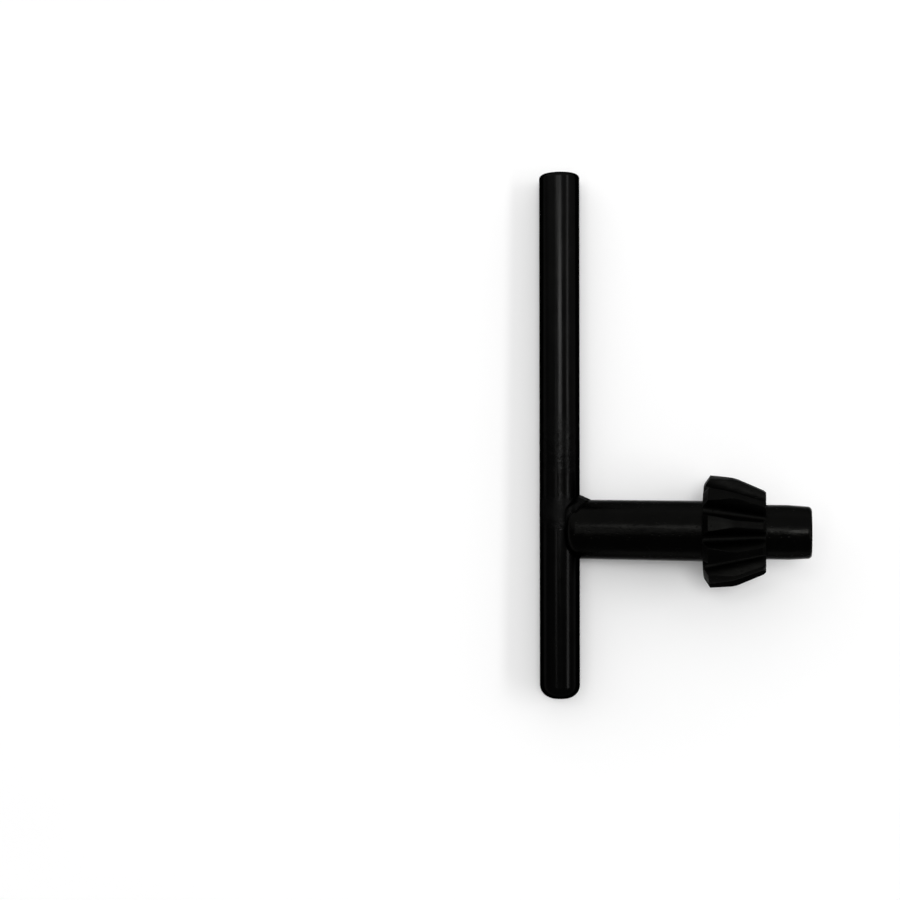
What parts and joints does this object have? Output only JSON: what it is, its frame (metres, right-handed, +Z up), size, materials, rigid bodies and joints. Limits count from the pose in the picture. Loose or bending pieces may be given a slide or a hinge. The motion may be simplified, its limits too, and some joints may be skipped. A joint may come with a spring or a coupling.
{
  "type": "drill chuck key",
  "caption": "T-handled key for a geared drill chuck, with a bevel pinion and pilot pin on its shank, lying at rest.",
  "frame": {"origin": "centre of the base of the bounding box, on the plane the key rests on", "axes": "+Z up from the plane it rests on; +Y along the handle rod, seen from above, towards its long end; +X along the shank, seen from above, from the rod towards the pilot pin"},
  "size_m": [0.0392, 0.078, 0.0163],
  "materials": {
    "drawn_rod_steel": "drawn steel rod with a smooth, near-black oxide finish",
    "blackened_steel": "turned and cut steel with a slightly rough, near-black oxide finish",
    "weld_steel": "small weld run under the same near-black oxide finish"
  },
  "bodies": {
    "root": {"handle_rod": "drawn_rod_steel", "key_body": "blackened_steel", "weld_bead": "weld_steel"}
  },
  "joints": []
}
